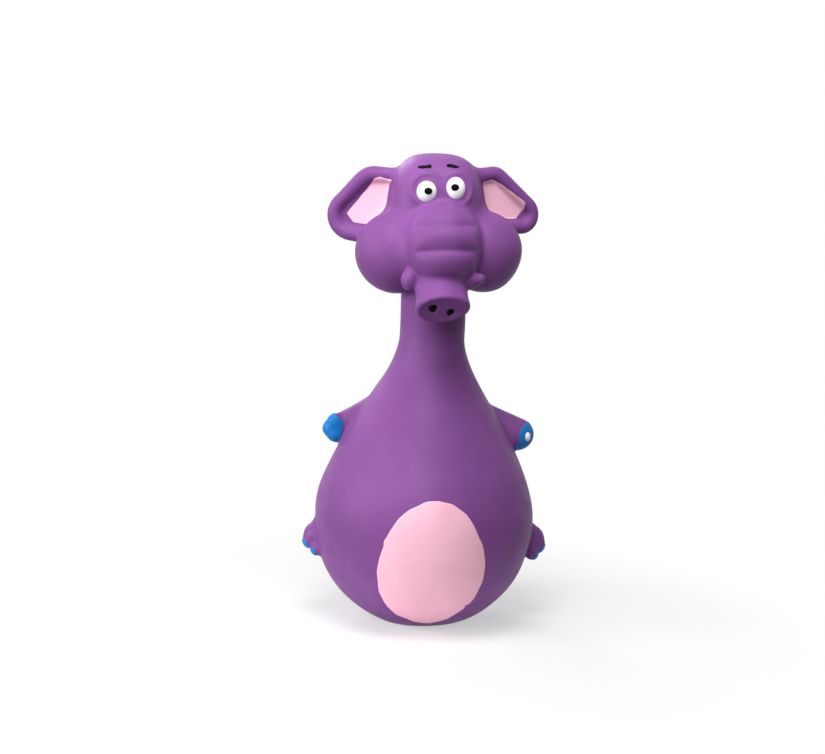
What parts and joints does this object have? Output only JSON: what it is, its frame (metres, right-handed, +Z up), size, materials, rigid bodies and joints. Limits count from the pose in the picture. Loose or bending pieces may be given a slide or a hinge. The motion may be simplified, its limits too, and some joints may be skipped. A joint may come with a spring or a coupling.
{
  "type": "squeaky dog toy",
  "caption": "Soft latex elephant dog toy with a pear-shaped stuffed body, bendy neck, floppy ears and a reed squeaker in its flat base.",
  "frame": {"origin": "middle of the flat base that the toy stands on", "axes": "+Z up through the neck and head, -Y the way the face looks, +X the toy's own left"},
  "size_m": [0.1026, 0.0914, 0.19],
  "materials": {
    "latex": "matte moulded natural latex, dyed purple",
    "fibre": "loose polyester fibre",
    "pink_paint": "thick brushed latex paint, satin",
    "blue_paint": "dipped latex paint, satin",
    "white_paint": "dabbed latex paint, satin",
    "black_paint": "dabbed latex paint, satin",
    "squeaker_plastic": "moulded polyethylene",
    "reed_brass": "thin rolled strip"
  },
  "bodies": {
    "base": {"body_skin": "latex", "body_fill": "fibre", "belly_patch": "pink_paint", "tail": "latex", "left_leg": "latex", "right_leg": "latex", "left_toe_coat": "blue_paint", "right_toe_coat": "blue_paint", "squeaker_cup": "squeaker_plastic", "squeaker_cap": "squeaker_plastic", "reed_block": "squeaker_plastic", "reed_clamp": "squeaker_plastic"},
    "reed": {"reed": "reed_brass"},
    "shoulders": {"left_arm": "latex", "right_arm": "latex", "left_paw_coat": "blue_paint", "right_paw_coat": "blue_paint", "nail_coat": "white_paint"},
    "neck": {"neck_skin": "latex", "neck_fill": "fibre"},
    "head": {"head_skin": "latex", "head_fill": "fibre", "trunk": "latex", "trunk_tip": "latex", "left_nostril_coat": "black_paint", "right_nostril_coat": "black_paint", "left_tusk": "latex", "right_tusk": "latex", "left_eye_white": "white_paint", "right_eye_white": "white_paint", "left_pupil": "black_paint", "right_pupil": "black_paint", "left_brow": "black_paint", "right_brow": "black_paint"},
    "left_ear": {"left_ear": "latex", "left_ear_lining": "pink_paint"},
    "right_ear": {"right_ear": "latex", "right_ear_lining": "pink_paint"}
  },
  "joints": [
    {"name": "reed_buzz", "type": "hinge", "parent": "base", "child": "reed", "pos_m": [0, -0.0005, 0.0141], "axis": [1, 0, 0], "range_deg": [-6, 1.5], "stiffness_Nm_per_rad": 0.002},
    {"name": "squeeze", "type": "slide", "parent": "base", "child": "shoulders", "axis": [0, 0, -1], "range_m": [0, 0.01], "stiffness_N_per_m": 1500, "deforming": ["body_skin", "body_fill"]},
    {"name": "neck_nod", "type": "hinge", "parent": "shoulders", "child": "neck", "pos_m": [0, 0, 0.108], "axis": [1, 0, 0], "range_deg": [-22, 25], "stiffness_Nm_per_rad": 0.8, "deforming": ["neck_skin", "neck_fill", "body_skin", "body_fill"]},
    {"name": "head_tilt", "type": "hinge", "parent": "neck", "child": "head", "pos_m": [0, 0, 0.126], "axis": [0, 1, 0], "range_deg": [-22, 22], "stiffness_Nm_per_rad": 0.8, "deforming": ["neck_skin", "neck_fill"]},
    {"name": "left_ear_fold", "type": "hinge", "parent": "head", "child": "left_ear", "pos_m": [0.02, 0.001, 0.17], "axis": [0, 0, 1], "range_deg": [-25, 25], "stiffness_Nm_per_rad": 0.06, "deforming": ["left_ear", "left_ear_lining"]},
    {"name": "right_ear_fold", "type": "hinge", "parent": "head", "child": "right_ear", "pos_m": [-0.02, 0.001, 0.17], "axis": [0, 0, -1], "range_deg": [-25, 25], "stiffness_Nm_per_rad": 0.06, "deforming": ["right_ear", "right_ear_lining"]}
  ]
}
